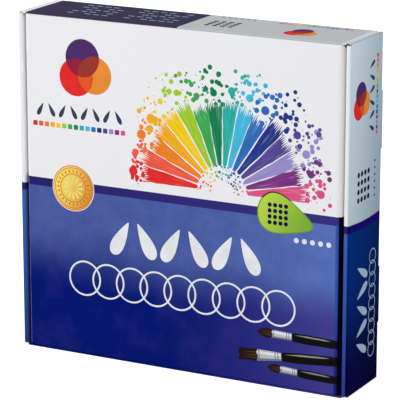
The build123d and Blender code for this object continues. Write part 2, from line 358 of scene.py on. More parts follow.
def topPrint(tree):
    x, y, z = tree.axes()
    right = tree.above(x, layout["topSplit"])
    # Violet print on the left; the right half is white board painted grey as painted shade
    colour = tree.mix(right, "topViolet", "topGrey")
    strip = tree.above(tree.absolute(x), layout["stripFrom"])
    # The strip's white has painted shade on the right and painted light on the left
    colour = tree.mix(strip, colour, tree.mix(right, "stripLeft", "stripWhite"))
    down = tree.ramp(z, boxHeight - 0.9 * mm, boxHeight - 0.7 * mm, 1.0, 0.0)  # on to the back
    corner = faceFront + boxHeight
    crease = tree.ramp(tree.plus(y, z), corner - 0.45 * mm, corner - 0.4 * mm, 1.0, 0.0)
    return tree.mix(tree.larger(down, crease), colour, "white")


# How far a point lies past the middle of the board towards its printed side, for each panel.
# A fold is given by two faces, each a coordinate, the way that it faces and its place
def foldReach(tree, first, second, radius):
    beyond = []
    for value, sign, place in (first, second):
        start = place - sign * radius  # where the curve begins
        beyond.append(tree.larger(tree.scaled(value, sign, -sign * start), 0.0))
    return tree.minus(tree.hypot(*beyond), radius - half)


# The upper end of a panel is inked too
def endReach(tree, z, top):
    return tree.scaled(z, 100.0, -100.0 * (top - 0.03 * mm))


def lidReach(tree, side, y, z):
    outer = tree.minus(faceFront + half, y)
    foot = tree.minus(lidLow.z + half, z)
    return tree.larger(tree.larger(outer, foot), endReach(tree, z, lidHigh.z))


def earReach(tree, side, y, z):
    reach = foldReach(tree, (side, 1, earHigh.x), (y, -1, faceFront), foldSizes["ear"])
    front = tree.ramp(y, faceFront + 1.1 * mm, faceFront + 0.9 * mm)
    return tree.larger(reach, tree.times(endReach(tree, z, earHigh.z), front))


def hingeWallReach(tree, side, y, z):
    reach = foldReach(tree, (y, 1, faceBack), (z, 1, boxHeight), foldSizes["wall"])
    bead = tree.scaled(y, -10.0, 10.0 * (faceFront + half))  # the crease is inked all round
    return tree.larger(reach, bead)


def frontWallReach(tree, side, y, z):
    reach = foldReach(tree, (y, 1, faceBack), (z, -1, 0.0), foldSizes["wall"])
    edge = tree.ramp(y, faceFront + 4 * mm, faceFront + 3.9 * mm, 0.0, 0.55 * mm)
    return tree.plus(reach, edge)  # ink drawn over the front edge


def baseReach(tree, side, y, z):
    return tree.minus(y, faceBack - half)


def sideWallReach(tree, side, y, z):
    offset = tree.absolute(tree.minus(side, (wallLow.x + wallHigh.x) / 2))
    halfWidth = (wallHigh.x - wallLow.x) / 2
    roll = foldReach(tree, (offset, 1, halfWidth), (y, -1, wallLow.y), foldSizes["roll"])
    back = foldReach(tree, (side, 1, faceSide), (y, 1, faceBack), foldSizes["wall"])
    edge = tree.ramp(z, wallHigh.z - 0.64 * mm, wallHigh.z - 0.62 * mm)  # a clean upper cut
    share = tree.ramp(tree.axes()[0], -mm, mm, 0.6 * mm, 0.2 * mm)
    return tree.plus(tree.larger(roll, back), tree.times(edge, share))


def flapReach(sign, place):  # the dust flaps at one end, which face up or down
    def reach(tree, side, y, z):
        return foldReach(tree, (side, 1, flapHigh.x), (z, sign, place), foldSizes["wall"])
    return reach


def tuckReach(tree, side, y, z):
    lift, length = foldSizes["tuck"]
    tilt = math.asin(lift / length)
    pivotY, pivotZ = faceFront + half, lidLow.z + half
    level = pivotZ * math.cos(tilt) - pivotY * math.sin(tilt)
    return tree.scaled(z, -math.cos(tilt), tree.scaled(y, math.sin(tilt), level))


# White-lined board: coated print outside, grey-brown paper inside, a plain core between
boardLook = {
    "skinShare": 0.32,  # of the thickness, each skin
    "skinBlend": 0.02 * mm,
    "gloss": 0.34,
    "liningRoughness": 0.85,
    "specular": 0.001,
    "waves": (0.25, 0.6 * mm),  # strength and height
    "grain": (0.07, 0.08 * mm),
}


def boardMaterial(name, printing, reachOf):
    tree = Shader(name)
    x, y, z = tree.axes()
    reach = reachOf(tree, tree.absolute(x), y, z)
    skin = boardThickness * (0.5 - boardLook["skinShare"])
    printed = tree.above(reach, skin, boardLook["skinBlend"])
    inner = tree.above(reach, -skin, boardLook["skinBlend"])
    fibre = tree.noise(1300, 4, 0.65, (1.0, 1.0, 0.45))
    fleck = tree.noise(1500, 2, 0.5)
    lining = tree.mix(tree.ramp(fibre, 0.35, 0.7), "liningDark", "lining")
    lining = tree.mix(tree.ramp(fleck, 0.64, 0.74, 0.0, 0.22), lining, "liningFleck")
    core = tree.mix(tree.ramp(fleck, 0.35, 0.65), "coreDark", "core")
    grain = tree.noise(900, 2, 0.5)
    colour = tree.mix(printed, tree.mix(inner, lining, core), printing(tree))
    gloss = boardLook["gloss"]
    rough = tree.ramp(grain, 0.3, 0.7, gloss - 0.04, gloss + 0.05)
    duller = tree.ramp(printed, 0.0, 1.0, boardLook["liningRoughness"] - gloss, 0.0)
    waves = tree.bump(tree.noise(22, 2, 0.4), *boardLook["waves"])
    tree.bump(tree.plus(grain, fibre), *boardLook["grain"], waves)
    rough = tree.plus(rough, duller)
    return tree.finish(colour, rough, Specular_IOR_Level=boardLook["specular"])


def setMaterial(node, material):
    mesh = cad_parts[node].data
    mesh.materials.clear()
    mesh.materials.append(material)


earMaterial = boardMaterial("earBoard", earPrint, earReach)
sideMaterial = boardMaterial("sideWallBoard", sidePrint, sideWallReach)
for node, material in {
    "lid_panel": boardMaterial("lidBoard", frontPrint, lidReach),
    "left_lid_ear": earMaterial,
    "right_lid_ear": earMaterial,
    "hinge_wall": boardMaterial("hingeWallBoard", topPrint, hingeWallReach),
    "front_wall": boardMaterial("frontWallBoard", frontPrint, frontWallReach),
    "base_panel": boardMaterial("baseBoard", frontPrint, baseReach),
    "left_side_wall": sideMaterial,
    "right_side_wall": sideMaterial,
    "hinge_wall_dust_flaps": boardMaterial("topFlapBoard", topPrint, flapReach(1, boxHeight)),
    "front_wall_dust_flaps": boardMaterial("lowFlapBoard", frontPrint, flapReach(-1, 0.0)),
    "tuck_flap": boardMaterial("tuckBoard", frontPrint, tuckReach),
}.items():
    setMaterial(node, material)
print("board dressed")


# Inks: flat colour with a little unevenness and the board's gloss
def inkMaterial(name, colour, spread=0.06):
    tree = Shader(name)
    plain = srgb(*colour)
    uneven = tree.ramp(tree.noise(140, 4, 0.6), 0.3, 0.7)
    colour = tree.mix(uneven, shaded(plain, 1 - 2 * spread), shaded(plain, 1 + spread))
    rough = tree.ramp(tree.noise(900, 2), 0.3, 0.7, 0.3, 0.4)
    return tree.finish(colour, rough, Specular_IOR_Level=boardLook["specular"])


# A printed blend from one colour to another, each given with its place on the lid
def blendMaterial(name, fromColour, fromPoint, toColour, toPoint):
    tree = Shader(name)
    x, y, z = tree.axes()
    length = math.dist(fromPoint, toPoint)
    u, v = ((to - start) / length for start, to in zip(fromPoint, toPoint))
    start = -(fromPoint[0] * u + fromPoint[1] * v) * mm
    along = tree.scaled(z, v, tree.scaled(x, u, start))
    ripple = tree.scaled(tree.noise(70, 3), 3 * mm, -1.5 * mm)
    factor = tree.ramp(tree.plus(along, ripple), 0.0, length * mm)
    colour = tree.mix(factor, srgb(*fromColour), srgb(*toColour))
    return tree.finish(colour, 0.3, Specular_IOR_Level=0.2)


# A brush-drawn ink: streaks run outwards from the middle of the fan
def streakMaterial(name, colour, centre):
    tree = Shader(name)
    x, y, z = tree.axes()
    u, v = tree.minus(x, centre[0] * mm), tree.minus(z, centre[1] * mm)
    across = tree.times(tree.calc("ARCTAN2", v, u), 46.0)
    along = tree.times(tree.hypot(u, v), 70.0)
    point = tree.node("ShaderNodeCombineXYZ", {0: across, 1: along})
    plain = srgb(*colour)
    streak = tree.noise(1.0, 5, 0.62, point=point)
    lighter = tuple(channel + (1 - channel) * 0.34 for channel in plain[:3]) + (1,)
    mixed = tree.mix(tree.ramp(streak, 0.3, 0.5), shaded(plain, 0.78), plain)
    mixed = tree.mix(tree.ramp(streak, 0.54, 0.76), mixed, lighter)
    return tree.finish(mixed, 0.34, Specular_IOR_Level=boardLook["specular"])


# A face of the carton that carries print: origin, direction to the right, direction up
def facePlace(origin, right, up, scale=mm):
    right, up = Vector(right), Vector(up)
    turned = Matrix((right, up, right.cross(up))).transposed().to_4x4()
    return Matrix.Translation(origin) @ turned @ Matrix.Scale(scale, 4)


faces = {
    "front": (facePlace((0, faceFront, 0), (1, 0, 0), (0, 0, 1)), "lid"),
    "right": (facePlace((faceSide, 0, 0), (0, 1, 0), (0, 0, 1)), "tray"),
    "left": (facePlace((-faceSide, 0, 0), (0, -1, 0), (0, 0, 1)), "tray"),
    "back": (facePlace((0, faceBack, 0), (-1, 0, 0), (0, 0, 1)), "tray"),
    "top": (facePlace((0, 0, boxHeight), (1, 0, 0), (0, 1, 0)), "tray"),
}
filmStep = 0.015  # millimetres that each layer of ink stands out
filmSunk = 0.01


def addObject(name, data):
    thing = bpy.data.objects.new(name, data)
    bpy.context.scene.collection.objects.link(thing)
    return thing


# Motifs printed on one face, in millimetres on that face, built as one thin closed mesh
class PrintSheet:
    def __init__(self, name, face):
        self.name = name
        self.place, self.body = faces[face]
        self.build = bmesh.new()
        self.slots = []

    def ink(self, items, ink):
        if ink not in self.slots:
            self.slots.append(ink)
        for item in items:
            item.material_index = self.slots.index(ink)

    def shape(self, outline, ink, layer=1):
        top = [self.build.verts.new((u, v, filmStep * layer)) for u, v in outline]
        low = [self.build.verts.new((u, v, -filmSunk)) for u, v in outline]
        made = [self.build.faces.new(top), self.build.faces.new(low[::-1])]
        for i in range(len(outline)):
            j = (i + 1) % len(outline)
            made.append(self.build.faces.new((top[j], top[i], low[i], low[j])))
        self.ink(made, ink)

    def ring(self, centre, radius, width, ink, layer=1, count=72):
        corners = []
        for i in range(count):
            row = []
            for reach in (radius + width / 2, radius - width / 2):
                spot = polar(centre, reach, 2 * math.pi * i / count)
                row += [self.build.verts.new((*spot, w)) for w in (filmStep * layer, -filmSunk)]
            corners.append(row)
        made = []
        for a, b in zip(corners, corners[1:] + corners[:1]):
            for p, q in ((0, 1), (1, 3), (3, 2), (2, 0)):
                made.append(self.build.faces.new((a[p], a[q], b[q], b[p])))
        self.ink(made, ink)

    def add(self, mesh, ink):
        before = set(self.build.faces)
        self.build.from_mesh(mesh)
        self.ink(set(self.build.faces) - before, ink)

    def done(self):
        bmesh.ops.recalc_face_normals(self.build, faces=self.build.faces)
        mesh = bpy.data.meshes.new(self.name)
        self.build.to_mesh(mesh)
        self.build.free()
        mesh.transform(self.place)
        for ink in self.slots:
            mesh.materials.append(inks[ink])
        sheet = addObject(self.name, mesh)
        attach(sheet, self.body)


# Outlines, in millimetres
def polar(centre, radius, angle):
    return (centre[0] + radius * math.cos(angle), centre[1] + radius * math.sin(angle))


def disc(centre, radius, count=48):
    return [polar(centre, radius, 2 * math.pi * i / count) for i in range(count)]


def placed(points, centre, angle=0.0, size=1.0):
    cos, sin = math.cos(angle) * size, math.sin(angle) * size
    return [(centre[0] + u * cos - v * sin, centre[1] + u * sin + v * cos) for u, v in points]


def roundedBar(length, height, radius, count=6):
    points = []
    for cu, cv, start in ((1, 1, 0), (-1, 1, 90), (-1, -1, 180), (1, -1, 270)):
        corner = (cu * (length / 2 - radius), cv * (height / 2 - radius))
        points += [polar(corner, radius, math.radians(start + 90 * i / count))
                   for i in range(count + 1)]
    return points


# The overlap of two equal discs
def lens(first, second, radius, count=20):
    away = math.dist(first, second) / 2
    reach = math.acos(away / radius)
    middle = ((first[0] + second[0]) / 2, (first[1] + second[1]) / 2)
    points = []
    for side in (1, -1):
        for i in range(count):
            u, v = polar((-away, 0), radius, -reach + 2 * reach * i / count)
            points.append((side * u, side * v))
    return placed(points, middle, math.atan2(second[1] - first[1], second[0] - first[0]))


# A leaf-shaped touch of the brush, pointed at one end
def dab(length, width, count=28):
    points = []
    for i in range(count):
        t = 2 * math.pi * i / count
        along = -math.cos(t)
        fat = math.sin(t) * (0.62 - 0.38 * along)
        points.append((along * length / 2, fat * width / 2 * 1.25))
    return points


# A brush stroke from the origin along u, with a ragged far end
def dryStroke(length, startWidth, endWidth, dice, steps=9, hairs=9):
    upper, lower, ragged = [], [], []
    for i in range(steps):
        share = i / (steps - 1)
        reach = startWidth / 2 + (endWidth - startWidth) / 2 * share
        wobble = reach * 0.07
        upper.append((length * share * 0.9, reach + dice.uniform(-wobble, wobble)))
        lower.append((length * share * 0.9, -reach + dice.uniform(-wobble, wobble)))
    for i in range(hairs):
        v = endWidth / 2 * (1 - 2 * (i + 0.5) / hairs)
        ragged.append((length * dice.uniform(0.93, 1.02), v + endWidth / hairs * 0.22))
        ragged.append((length * dice.uniform(0.8, 0.9), v - endWidth / hairs * 0.28))
    start = [(-startWidth * 0.35, -startWidth * 0.25), (-startWidth * 0.35, startWidth * 0.25)]
    return start + upper + ragged[:-1] + lower[::-1]


# Geometry Nodes: a block of dots, and dots thrown out from a point
def nodeGroup(name, inputs):
    group = bpy.data.node_groups.new(name, "GeometryNodeTree")
    dotInputs = {"Sides": 24, "Dot Radius": 1.0, "Thickness": 0.05, "Ink": None}
    for label, value in {**inputs, **dotInputs}.items():
        kind = "NodeSocket" + {int: "Int", float: "Float"}.get(type(value), "Material")
        item = group.interface.new_socket(name=label, in_out="INPUT", socket_type=kind)
        if value is not None:
            item.default_value = value
    group.interface.new_socket(name="Geometry", in_out="OUTPUT", socket_type="NodeSocketGeometry")
    return group, Tree(group), group.nodes.new("NodeGroupInput").outputs


# Puts a flat dot on every point, then realizes and inks the lot
def dotTail(group, tree, given, points, scale=None):
    dot = tree.node("GeometryNodeMeshCylinder", {
        "Vertices": given["Sides"], "Radius": given["Dot Radius"], "Depth": given["Thickness"],
    }, fill_type="NGON")
    parts = {"Points": points, "Instance": dot, "Scale": scale}
    copies = tree.node("GeometryNodeInstanceOnPoints", parts)
    real = tree.node("GeometryNodeRealizeInstances", {"Geometry": copies})
    paint = tree.node("GeometryNodeSetMaterial", {"Geometry": real, "Material": given["Ink"]})
    tree.put(group.nodes.new("NodeGroupOutput").inputs["Geometry"], paint)
    return group


def makeBlockTree():
    inputs = {"Columns": 4, "Rows": 4, "Width": 10.0, "Height": 10.0}
    group, tree, given = nodeGroup("dotBlock", inputs)
    grid = tree.node("GeometryNodeMeshGrid", {
        "Size X": given["Width"], "Size Y": given["Height"],
        "Vertices X": given["Columns"], "Vertices Y": given["Rows"],
    })
    points = tree.node("GeometryNodeMeshToPoints", {"Mesh": grid}, "Points")
    return dotTail(group, tree, given, points)


def makeSpatterTree():
    group, tree, given = nodeGroup("spatter", {
        "Count": 12, "Near": 1.0, "Far": 5.0, "From Angle": 0.0, "To Angle": 1.0, "Seed": 0,
    })

    def draw(low, high, seed):  # a random value for every dot
        return tree.node("FunctionNodeRandomValue", {2: low, 3: high, "Seed": seed}, 1)

    angle = draw(given["From Angle"], given["To Angle"], given["Seed"])
    reach = draw(given["Near"], given["Far"], tree.plus(given["Seed"], 100))
    size = draw(0.4, 1.0, tree.plus(given["Seed"], 200))
    spot = tree.node("ShaderNodeCombineXYZ", {
        0: tree.times(tree.calc("COSINE", angle), reach),
        1: tree.times(tree.calc("SINE", angle), reach),
    })
    points = tree.node("GeometryNodePoints", {"Count": given["Count"], "Position": spot}, "Points")
    small = tree.calc("POWER", size, 2.2)  # many small dots and a few large ones
    return dotTail(group, tree, given, points, small)


blockTree = makeBlockTree()
spatterTree = makeSpatterTree()


# The plain mesh that a node tree makes with these inputs
def grown(group, **values):
    holder = addObject("holder", bpy.data.meshes.new("holder"))
    modifier = holder.modifiers.new("grow", "NODES")
    modifier.node_group = group
    names = {item.name.replace(" ", "").lower(): item.identifier
             for item in group.interface.items_tree if item.in_out == "INPUT"}
    for name, value in values.items():
        modifier[names[name.lower()]] = value
    graph = bpy.context.evaluated_depsgraph_get()
    mesh = bpy.data.meshes.new_from_object(holder.evaluated_get(graph))
    bpy.data.objects.remove(holder)
    return mesh


def dotBlock(sheet, centre, grid, extent, radius, ink, sides=24, layer=1):
    mesh = grown(blockTree, columns=grid[0], rows=grid[1], width=extent[0], height=extent[1],
                 sides=sides, dotRadius=radius, thickness=filmStep * layer + filmSunk,
                 ink=inks[ink])
    mesh.transform(Matrix.Translation((*centre, (filmStep * layer - filmSunk) / 2)))
    sheet.add(mesh, ink)


def spatter(sheet, centre, near, far, fromAngle, toAngle, count, radius, ink, seed):
    mesh = grown(spatterTree, count=count, near=near, far=far, fromAngle=fromAngle,
                 toAngle=toAngle, seed=seed, sides=14, dotRadius=radius,
                 thickness=2 * filmStep, ink=inks[ink])
    mesh.transform(Matrix.Translation((*centre, 0)))
    sheet.add(mesh, ink)


# Motifs that more than one face carries
def inkTrio(sheet, centre, radius):
    spots = []
    for turn, ink in ((100, "plumInk"), (220, "red"), (340, "flameInk")):
        spots.append(polar(centre, radius * 0.64, math.radians(turn)))
        sheet.shape(disc(spots[-1], radius, 64), ink)
    overlaps = ((0, 1, "wineInk"), (1, 2, "emberInk"), (2, 0, "umberInk"))
    for layer, (first, second, ink) in enumerate(overlaps, start=2):
        sheet.shape(lens(spots[first], spots[second], radius), ink, layer)


def spotsInRow(centre, pitch, count, upright):
    offsets = [(i - (count - 1) / 2) * pitch for i in range(count)]
    if upright:
        return [(centre[0], centre[1] + offset) for offset in offsets]
    return [(centre[0] + offset, centre[1]) for offset in offsets]


def swatchRow(sheet, centre, pitch, size, upright=False):
    names = list(inkColours)[::-1 if upright else 1]
    square = roundedBar(size, size, size * 0.2)
    for ink, spot in zip(names, spotsInRow(centre, pitch, len(names), upright)):
        sheet.shape(placed(square, spot), ink)


def dabRow(sheet, centre, pitch, count, length, width, ink, upright=False):
    for i, spot in enumerate(spotsInRow(centre, pitch, count, upright)):
        lean = math.radians(62 if i % 2 == 0 else 118) + (math.pi / 2 if upright else 0)
        sheet.shape(placed(dab(length, width), spot, lean), ink)


def ringRow(sheet, centre, pitch, count, radius, width, ink, upright=False):
    for i, spot in enumerate(spotsInRow(centre, pitch, count, upright)):
        sheet.ring(spot, radius, width, ink, 1 + i % 2)


# Brush strokes in every colour, fanned out, with spatter beyond and within
def strokeFan(sheet, centre, look):
    dice = random.Random(look["seed"])
    spread = math.radians(look["spread"])
    inner, drops, dropRadius = look["inner"], look["drops"], look["dropRadius"]
    for i, ink in enumerate(inkColours):
        share = i / (len(inkColours) - 1)
        angle = math.radians(look["toAngle"] + (look["fromAngle"] - look["toAngle"]) * share)
        length = look["length"] * dice.uniform(0.84, 1.05)
        outline = dryStroke(length, look["startWidth"], look["endWidth"], dice)
        sheet.shape(placed(outline, polar(centre, inner, angle), angle), ink + "Stroke")
        reach = inner + length
        if angle < math.pi / 2:  # the drops stop short of the fold and of the swatches
            room = (look["edge"] - centre[0]) / max(0.1, math.cos(max(0.0, angle - spread)))
        else:
            slope = -math.cos(min(math.pi, angle + spread))
            room = (centre[0] - look["leftEdge"]) / max(0.1, slope)
        far = min(reach + look["throw"], room)
        bead = min(reach + dice.uniform(3.2, 5.6), far - 1)
        beadDisc = disc(polar(centre, bead, angle), dice.uniform(1.1, 2.3), 28)
        sheet.shape(beadDisc, ink, 2)
        sector = (angle - spread, angle + spread)
        spatter(sheet, centre, reach - 2, far, *sector, drops, dropRadius, ink, look["seed"] + i)
        spatter(sheet, centre, inner - 7, inner - 0.5, *sector, drops // 3, dropRadius * 0.5,
                ink, look["seed"] + 40 + i)


# A gold seal: a rim, a ring of marks and a rosette, in shares of its radius
def goldSeal(sheet, centre, radius):
    for layer, (share, ink) in enumerate(((1, "inkWhite"), (0.965, "goldEdge"),
                                          (0.93, "goldBlend")), start=1):
        sheet.shape(disc(centre, radius * share, 96), ink, layer)
    for share, width in ((0.86, 0.03), (0.6, 0.035)):
        sheet.ring(centre, radius * share, radius * width, "goldEdge", 4)
    for count, share, length, width, points, turn, ink in (
        (24, 0.73, 0.15, 0.075, 12, 0.0, "goldEdge"),
        (12, 0.32, 0.36, 0.13, 16, math.pi, "goldLight"),
    ):
        mark = dab(radius * length, radius * width, points)
        for i in range(count):
            angle = 2 * math.pi * i / count
            spot = polar(centre, radius * share, angle)
            sheet.shape(placed(mark, spot, angle + turn), ink, 4)


# A paint drop lying on its side, with a block of dots on it
def limeDrop(sheet, centre, size):
    outline = []
    for i in range(56):
        t = 2 * math.pi * i / 56
        u = 0.62 * math.cos(t) + 0.30 * max(0, math.cos(t)) ** 3
        outline.append((u * size, 0.5 * size * math.sin(t) * (1 - 0.28 * math.cos(t))))
    sheet.shape(placed(outline, centre, math.radians(-14)), "limeEdge", 1)
    sheet.shape(placed(outline, centre, math.radians(-14), 0.95), "limeBlend", 2)
    dotBlock(sheet, (centre[0] - size * 0.06, centre[1]), (4, 4), (size * 0.44, size * 0.44),
             size * 0.055, "inkNight", 20, 3)


# A printed brush from its cut handle to its tip, with the light along one side. Its outlines
# are in shares of its length and of its width
def paintBrush(sheet, foot, degrees, length, width, flat):
    def part(points, ink, layer):
        outline = [(u * length, v * width) for u, v in points]
        sheet.shape(placed(outline, foot, math.radians(degrees)), ink, layer)

    def both(points):  # the points of one edge, and the same mirrored
        return points + [(u, -v) for u, v in points[::-1]]

    part(both([(0, -0.46), (0.36, -0.52), (0.50, -0.46), (0.56, -0.34)]), "handle", 1)
    part([(0.03, -0.26), (0.12, -0.34), (0.34, -0.36), (0.50, -0.26), (0.34, -0.18),
          (0.12, -0.19)], "handleShine", 2)
    wide = 0.58 if flat else 0.42
    part(both([(0.54, -0.38), (0.80, -wide)]), "silver", 2)
    part([(0.545, -0.26), (0.80, -wide * 0.7), (0.80, -wide * 0.2), (0.545, -0.04)],
         "silverLight", 3)
    part([(0.545, 0.22), (0.80, wide * 0.55), (0.80, wide), (0.545, 0.38)], "silverDark", 3)
    for share in (0.57, 0.60, 0.77):
        crimp = 0.38 + (wide - 0.38) * (share - 0.54) / 0.26
        part(both([(share, -crimp), (share + 0.009, -crimp)]), "silverDark", 4)
    if flat:
        hair = [(0.79, -wide), (0.97, -wide * 1.05), (1.0, -wide * 0.5), (0.985, wide * 0.2),
                (1.0, wide * 0.95), (0.79, wide)]
    else:
        hair = [(0.79, -wide), (0.87, -wide * 1.25), (0.94, -wide * 0.9), (1.0, 0),
                (0.94, wide * 0.9), (0.87, wide * 1.25), (0.79, wide)]
    part(hair, "bristle", 2)
    for shift in (-0.5, 0.0, 0.45):
        part([(0.8, wide * (shift - 0.08)), (0.95, wide * (shift * 0.8)),
              (0.8, wide * (shift + 0.14))], "bristleLight", 3)


inks = {name: inkMaterial(name + "Ink", value) for name, value in inkColours.items()}
inks.update({name: inkMaterial(name, value, 0.04) for name, value in extraInks.items()})
inks.update({name + "Stroke": streakMaterial(name + "Stroke", value, frontLook["fanCentre"])
             for name, value in inkColours.items()})
for name, *ends in (
    ("goldBlend", (252, 224, 106), (-61, 79), (214, 148, 38), (-42, 72)),
    ("limeBlend", (186, 216, 66), (38, 84), (122, 172, 42), (62, 70)),
):
    inks[name] = blendMaterial(name, *ends)

motifs = {
    "trio": inkTrio, "leaves": dabRow, "swatches": swatchRow, "seal": goldSeal,
    "drop": limeDrop, "dotSquare": dotBlock, "dotLine": dotBlock, "petals": dabRow,
    "rings": ringRow,
}


# Draws the motifs that a face's look names, in its order
def drawMotifs(sheet, look):
    for name, values in look.items():
        if name in motifs:
            motifs[name](sheet, *values)


def printLid():
    sheet = PrintSheet("lidPrint", "front")
    strokeFan(sheet, frontLook["fanCentre"], frontLook["fan"])
    drawMotifs(sheet, frontLook)
    for brush in frontLook["brushes"]:
        paintBrush(sheet, *brush)
    sheet.done()


# The other faces, in millimetres from the middle of each and from its foot
sideLook = {
    "trio": ((-5.2, 126.5), 5.2),
    "leaves": ((5.2, 127), 5.4, 6, 5.6, 2.0, "inkSlate", True),
    "swatches": ((10.6, 127), 2.2, 1.7, True),
    "dotSquare": ((-2.0, 90), (4, 4), (10, 11), 1.2, "inkNight"),
    "dotLine": ((9.4, 91), (1, 6), (0, 15), 0.6, "inkNight"),
    "petals": ((-1.4, 35.5), 8.4, 5, 11.5, 3.9, "inkPale", True),
    "rings": ((8.8, 36), 5.2, 9, 3.2, 0.4, "inkPale", True),
}


def printSide(name, face):
    sheet = PrintSheet(name, face)
    drawMotifs(sheet, sideLook)
    sheet.done()


topLook = {
    "barLines": (10.4, 5.8, 1.2, -3.4, -8.0),
    "barBlocks": ((-58, 5), (-30, 6)),  # where each begins, and its bars in a line
    "barPitch": 4.3,
    "bar": (3.2, 0.9, 0.44),  # length, height, corner
    "dotSquare": ((13.5, -1.4), (4, 4), (11, 9), 1.15, "inkNight"),
    "dotLine": ((14, 12.6), (6, 1), (15, 0), 0.6, "inkNight"),
    "trio": ((51, -3.2), 4.6),
    "swatches": ((51, 11.6), 2.2, 1.7),
}


def printTop():
    sheet = PrintSheet("topPrint", "top")
    bar = roundedBar(*topLook["bar"])
    for row, v in enumerate(topLook["barLines"]):
        for start, count in topLook["barBlocks"]:
            for i in range(count):
                if (row * 2 + i) % 5 != 4:  # every fifth is left out
                    sheet.shape(placed(bar, (start + i * topLook["barPitch"], v)), "inkPale")
    drawMotifs(sheet, topLook)
    sheet.done()


backLook = {
    "swatchTop": 133,
    "swatchPitch": (17, 12),
    "swatch": (13, 8.6, 1.8),  # length, height, corner
    "rules": (96, 96, 96, 96, 58),  # their lengths, from the top down
    "ruleTop": 60,
    "rulePitch": 6,
    "rings": ((0, 19), 9, 9, 5.6, 0.6, "inkPale"),
}


def printBack():
    sheet = PrintSheet("backPrint", "back")
    stepU, stepV = backLook["swatchPitch"]
    for i, ink in enumerate(inkColours):
        row, column = divmod(i, 4)
        spot = ((column - 1.5) * stepU, backLook["swatchTop"] - row * stepV)
        sheet.shape(placed(roundedBar(*backLook["swatch"]), spot), ink)
    for row, length in enumerate(backLook["rules"]):
        shift = (length - backLook["rules"][0]) / 2
        spot = (shift, backLook["ruleTop"] - row * backLook["rulePitch"])
        sheet.shape(placed(roundedBar(length, 0.9, 0.44), spot), "inkPale")
    drawMotifs(sheet, backLook)
    sheet.done()


printLid()
printSide("rightPrint", "right")
printSide("leftPrint", "left")
printTop()
printBack()
print("print laid down")

# Finishes inside the box: the cloud's noise, the gloss or its range and noise, the relief's
# noise, and its strength and height
finishes = {
    "jar": ((60, 3), (0.14, 0.24, 400, 2), (80, 2), (0.05, 0.3 * mm)),
    "cap": ((90, 3), (0.3, 0.42, 700, 2), (1200, 3, 0.6), (0.12, 0.05 * mm)),
    "liner": ((1600, 3, 0.6), 0.8, (1600, 3, 0.6), (0.3, 0.1 * mm)),
    "gouache": ((120, 5, 0.55), (0.32, 0.5, 300, 3), (120, 5, 0.55), (0.4, 0.4 * mm)),
    "label": ((700, 3, 0.6), 0.5, (700, 3, 0.6), (0.1, 0.05 * mm)),
}


def finishMaterial(name, kind, dark, light, **surface):
    cloud, gloss, relief, bump = finishes[kind]
    tree = Shader(name)
    factor = tree.noise(*cloud)
    if isinstance(gloss, tuple):
        factor = tree.ramp(factor, 0.3, 0.7)
        gloss = tree.ramp(tree.noise(*gloss[2:]), 0.3, 0.7, *gloss[:2])
    tree.bump(tree.noise(*relief), *bump)
    return tree.finish(tree.mix(factor, dark, light), gloss, **surface)


jarPlastic = finishMaterial("jarPlastic", "jar", srgb(226, 232, 236), srgb(244, 247, 248),
                            Transmission_Weight=0.75, IOR=1.46)
capPlastic = finishMaterial("capPlastic", "cap", srgb(228, 228, 226), srgb(240, 240, 238),
                            Subsurface_Weight=0.1, Subsurface_Scale=1.0 * mm)
linerFoam = finishMaterial("linerFoam", "liner", srgb(206, 206, 200), srgb(236, 236, 232))
gouaches, labels = [], []
for name, value in paintColours.items():
    paint = srgb(*value)
    gouaches.append(finishMaterial(name + "Gouache", "gouache", shaded(paint, 0.82), paint,
                                   Specular_IOR_Level=0.4))
    labels.append(finishMaterial(name + "Label", "label", shaded(paint, 0.93), paint,
                                 Specular_IOR_Level=0.1))

fillLook = {
    "clearance": 0.08 * mm,  # from the jar's wall
    "floor": 1.8 * mm,
    "floorEdge": 0.6 * mm,
    "shoulderFrom": -1.1 * mm,  # below and above the jar's shoulder
    "shoulderTo": 0.9 * mm,
    "level": 22.9 * mm,
    "dish": 0.7 * mm,
}
jarSizes = {"wall": 1.0 * mm, "neckRadius": 15.9 * mm, "neckHeight": 9.5 * mm}
labelLook = {"radius": 13.2 * mm, "thickness": 0.16 * mm, "rim": 0.5 * mm, "sunk": 0.01 * mm}


# Adds a closed solid of revolution about the jar's axis from (radius, height) points
def addTurned(name, outline, seat, body, material, count=64):
    build = bmesh.new()
    rings = []
    for radius, height in outline:
        spots = [(0, 0)] if radius == 0 else disc((0, 0), radius, count)
        rings.append([build.verts.new(seat @ Vector((*spot, height))) for spot in spots])
    for first, second in zip(rings, rings[1:]):
        for i in range(count):
            j = i + 1
            corners = [ring[k % len(ring)] for ring, k in ((first, i), (first, j), (second, j),
                                                           (second, i))]
            build.faces.new(list(dict.fromkeys(corners)))
    bmesh.ops.recalc_face_normals(build, faces=build.faces)
    mesh = bpy.data.meshes.new(name)
    build.to_mesh(mesh)
    build.free()
    mesh.materials.append(material)
    piece = addObject(name, mesh)
    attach(piece, body)
    return piece


